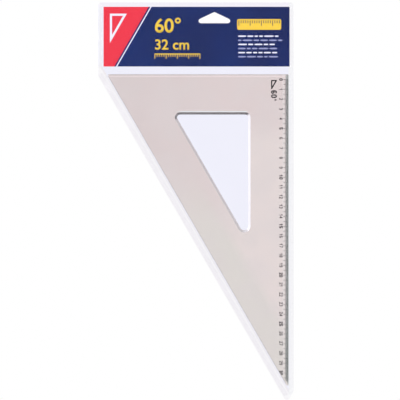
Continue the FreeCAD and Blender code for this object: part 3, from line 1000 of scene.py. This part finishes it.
def line_maker():
    """Lines of short bars, word after word, that stand for small print. Every other line is paler."""
    inputs = (
        ("Lines", "NodeSocketInt"),
        ("Words", "NodeSocketInt"),
        ("Width", "NodeSocketFloat"),
        ("Pitch", "NodeSocketFloat"),
        ("Shortest", "NodeSocketFloat"),
        ("Longest", "NodeSocketFloat"),
        ("Gap", "NodeSocketFloat"),
        ("Bar", "NodeSocketFloat"),
        ("Seed", "NodeSocketInt"),
        ("Ink", "NodeSocketMaterial"),
        ("Pale Ink", "NodeSocketMaterial"),
    )
    tree, given, result = new_maker("printed_lines", inputs)
    count = product(tree, given.outputs["Lines"], given.outputs["Words"])
    points = add(tree, "GeometryNodeMeshLine", {"Count": count, "Offset": (0, 0, 0)}).outputs[0]
    number = add(tree, "GeometryNodeInputIndex").outputs[0]
    line = math_node(tree, "FLOOR", math_node(tree, "DIVIDE", number, given.outputs["Words"]))
    shortest_longest_seed = {
        2: given.outputs["Shortest"],
        3: given.outputs["Longest"],
        "Seed": given.outputs["Seed"],
    }
    draw = add(tree, "FunctionNodeRandomValue", shortest_longest_seed, data_type="FLOAT")
    length = draw.outputs[1]
    step = math_node(tree, "ADD", length, given.outputs["Gap"])
    run = add(tree, "GeometryNodeAccumulateField", {"Value": step, "Group ID": line}, data_type="FLOAT")
    left = run.outputs["Trailing"]
    middle = math_node(tree, "ADD", left, math_node(tree, "DIVIDE", length, 2.0))
    drop = product(tree, line, product(tree, given.outputs["Pitch"], -1.0))
    spots = {"Geometry": points, "Position": vector(tree, X=middle, Z=drop)}
    laid = add(tree, "GeometryNodeSetPosition", spots).outputs[0]
    right = math_node(tree, "ADD", left, length)
    fits = math_node(tree, "LESS_THAN", right, given.outputs["Width"])
    size = vector(tree, X=length, Y=1.0, Z=given.outputs["Bar"])
    words = copies(tree, laid, standing_bar(tree, 0.0), Selection=fits, Scale=size)
    inked = coated(tree, words, given.outputs["Ink"])
    height = sides_of(tree, add(tree, "GeometryNodeInputPosition").outputs[0])["Z"]
    row = math_node(tree, "ROUND", math_node(tree, "DIVIDE", height, given.outputs["Pitch"]))
    pale = add(tree, "GeometryNodeSetMaterial", {
        "Geometry": inked,
        "Selection": math_node(tree, "FLOORED_MODULO", row, 2.0),
        "Material": given.outputs["Pale Ink"],
    })
    tree.links.new(pale.outputs[0], result.inputs[0])
    return tree


def row_on_card(name, maker, place, **values):
    """A geometry tree's print, its own origin put at a place on the card."""
    piece = made_by(new_piece(name, bpy.data.meshes.new(name)), maker, **values)
    piece.data.transform(Matrix.Translation(on_card(*place)))
    return piece


def tick_row(name, maker, place, count, lengths, ink):
    """A row of printed ticks with its left end at a place on the card."""
    short, long = lengths
    return row_on_card(name, maker, place, count=count, pitch=TICK_PITCH, thickness=TICK_THICKNESS,
                       short=short, long=long, long_every=LONG_TICK_EVERY, ink=ink)


def band_print():
    """The coral band at the card's left end, its keyline and the outlined triangle on it."""
    low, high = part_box("header_card")
    height = high.z - low.z
    lean = height / BAND_SLOPE
    band = [(0, 0), (BAND_WIDTH_BELOW, 0), (BAND_WIDTH_BELOW + lean, height), (0, height)]
    print_piece(flat_shape("coral_band", CORAL, band))
    strip = leaning_strip(BAND_WIDTH_BELOW + KEYLINE_GAP, KEYLINE_WIDTH, height)
    print_piece(flat_shape("band_keyline", WHITE, strip))
    left, bottom = BAND_MARK_PLACE
    top = bottom + BAND_MARK_HEIGHT
    mark = [(left, bottom), (left + BAND_MARK_HEIGHT / BAND_SLOPE, top), (left, top)]
    window = inset_triangle(mark, BAND_MARK_LINE)
    print_piece(flat_shape("band_mark", WHITE, mark, window), layer=1)


def rule_print(ticks):
    """The small rule under the numbers: a row of ticks that hang from a line."""
    print_piece(tick_row("number_rule", ticks, RULE_PLACE, RULE_TICKS, RULE_TICK_LENGTHS, YELLOW))
    left = RULE_PLACE[0] - TICK_THICKNESS / 2
    bottom = RULE_PLACE[1] - RULE_LINE_LAP
    width = (RULE_TICKS - 1) * TICK_PITCH + TICK_THICKNESS
    line = rounded_bar(left, bottom, width, RULE_LINE_HEIGHT, RULE_LINE_ROUND)
    print_piece(flat_shape("number_rule_line", YELLOW, line), layer=1)


def emblem_print(ticks):
    """The yellow bar with ticks along its upper edge, like a short ruler."""
    bar = rounded_bar(*EMBLEM_PLACE, *EMBLEM_SIZE, EMBLEM_ROUND)
    print_piece(flat_shape("ruler_emblem", YELLOW, bar))
    spare = (EMBLEM_SIZE[0] - (EMBLEM_TICKS - 1) * TICK_PITCH) / 2
    top = EMBLEM_PLACE[1] + EMBLEM_SIZE[1]
    start = (EMBLEM_PLACE[0] + spare, top - EMBLEM_TICKS_BELOW_TOP)
    row = tick_row("emblem_ticks", ticks, start, EMBLEM_TICKS, EMBLEM_TICK_LENGTHS, DEEP)
    print_piece(row, layer=1)


def small_print():
    """The lines of short bars under the emblem."""
    shortest, longest = WORD_LENGTHS
    lines = row_on_card("small_print", line_maker(), LINES_PLACE, lines=LINE_COUNT, words=WORDS_IN_LINE,
                        width=LINES_WIDTH, pitch=LINE_PITCH, shortest=shortest, longest=longest,
                        gap=WORD_GAP, bar=WORD_HEIGHT, seed=WORD_SEED, ink=WHITE, pale_ink=LILAC)
    print_piece(lines)


def card_print():
    """Every printed shape on the card."""
    ticks = tick_maker()
    band_print()
    print_piece(number_print())
    rule_print(ticks)
    emblem_print(ticks)
    small_print()


film_sheets()
weld_ribs()
card_print()
finish_node("set_square_plate", PLASTIC)
for node in ("scale_ticks", "scale_numerals", "corner_mark"):
    finish_node(node, BLACK)
finish_node("header_card", BOARD)
for node in WELDS:
    finish_node(node, WELD)


# ---------------------------------------------------------------- stage, light and camera

VIEW_WIDTH = 0.409
VIEW_CENTRE = Vector((-0.0147, 0.0, -0.1919))
CAMERA_DISTANCE = 1.8
SENSOR = 36.0

# Each lamp's name, place, size and power
LAMPS = (
    ("key_lamp", (-1.3, -1.7, 0.9), 1.0, 32.0),
    ("fill_lamp", (1.5, -1.5, 0.1), 1.2, 15.0),
    ("back_lamp", (0.5, 1.7, 0.6), 1.2, 22.0),
)
ROOM_LIGHT = 0.5
FLOOR_LEVEL = -0.6
FLOOR_RADIUS = 1.6
FLOOR_SIDES = 96
FLOOR_FADE = (0.25 * FLOOR_RADIUS, 0.9 * FLOOR_RADIUS)


def camera():
    """A camera square in front of the pack."""
    data = bpy.data.cameras.new("camera")
    data.sensor_width = SENSOR
    data.lens = SENSOR * CAMERA_DISTANCE / VIEW_WIDTH
    viewer = new_piece("camera", data)
    viewer.location = VIEW_CENTRE - Vector((0, CAMERA_DISTANCE, 0))
    viewer.rotation_euler = (math.pi / 2, 0, 0)
    bpy.context.scene.camera = viewer


def soft_lamp(name, place, size, power):
    """A square lamp aimed at the middle of the pack."""
    data = bpy.data.lights.new(name, "AREA")
    data.size = size
    data.energy = power
    lamp = new_piece(name, data)
    lamp.location = place
    lamp.rotation_euler = (VIEW_CENTRE - Vector(place)).to_track_quat("-Z", "Y").to_euler()


def white_surroundings():
    """Plain white wherever it is seen, and a weaker light on the object."""
    world = bpy.data.worlds.new("surroundings")
    bpy.context.scene.world = world
    world.use_nodes = True
    tree = world.node_tree
    tree.nodes.clear()
    path = add(tree, "ShaderNodeLightPath").outputs
    seen = math_node(tree, "MAXIMUM", path["Is Camera Ray"], path["Is Glossy Ray"])
    seen = math_node(tree, "MAXIMUM", seen, path["Is Transmission Ray"])
    room = add(tree, "ShaderNodeBackground", {"Color": PURE_WHITE, "Strength": ROOM_LIGHT})
    white = add(tree, "ShaderNodeBackground", {"Color": PURE_WHITE, "Strength": 1.0})
    both = add(tree, "ShaderNodeMixShader", {0: seen, 1: room.outputs[0], 2: white.outputs[0]})
    output = tree.nodes.new("ShaderNodeOutputWorld")
    tree.links.new(both.outputs[0], output.inputs["Surface"])


def floor_paint():
    """Pale paint with a faint grain that fades to nothing towards the floor's rim."""
    finish, tree, output = new_finish("pale_floor")
    place = add(tree, "ShaderNodeTexCoord").outputs["Object"]
    no_height = {0: place, 1: (1, 1, 0)}
    flat = add(tree, "ShaderNodeVectorMath", no_height, operation="MULTIPLY").outputs[0]
    away = add(tree, "ShaderNodeVectorMath", {0: flat}, operation="LENGTH").outputs["Value"]
    grain = noise(tree, place, 300.0, Detail=3.0)
    colour = blended(tree, grain, (0.9, 0.9, 0.9, 1), (0.94, 0.94, 0.94, 1))
    paint = add(tree, "ShaderNodeBsdfPrincipled", {"Base Color": colour, "Roughness": 0.8})
    clear = add(tree, "ShaderNodeBsdfTransparent")
    fade = ramp(tree, away, *FLOOR_FADE)
    surface = add(tree, "ShaderNodeMixShader", {0: fade, 1: paint.outputs[0], 2: clear.outputs[0]})
    tree.links.new(surface.outputs[0], output.inputs["Surface"])
    return finish


def pale_floor():
    """A round floor under the hanging pack that fades into the white surroundings."""
    shape = bmesh.new()
    bmesh.ops.create_circle(shape, cap_ends=True, segments=FLOOR_SIDES, radius=FLOOR_RADIUS)
    bmesh.ops.translate(shape, verts=shape.verts, vec=(0, 0, FLOOR_LEVEL))
    mesh = bpy.data.meshes.new("floor")
    shape.to_mesh(mesh)
    shape.free()
    mesh.materials.append(floor_paint())
    new_piece("floor", mesh)


camera()
for name, place, size, power in LAMPS:
    soft_lamp(name, place, size, power)
white_surroundings()
pale_floor()
bpy.context.scene.view_settings.view_transform = "Standard"
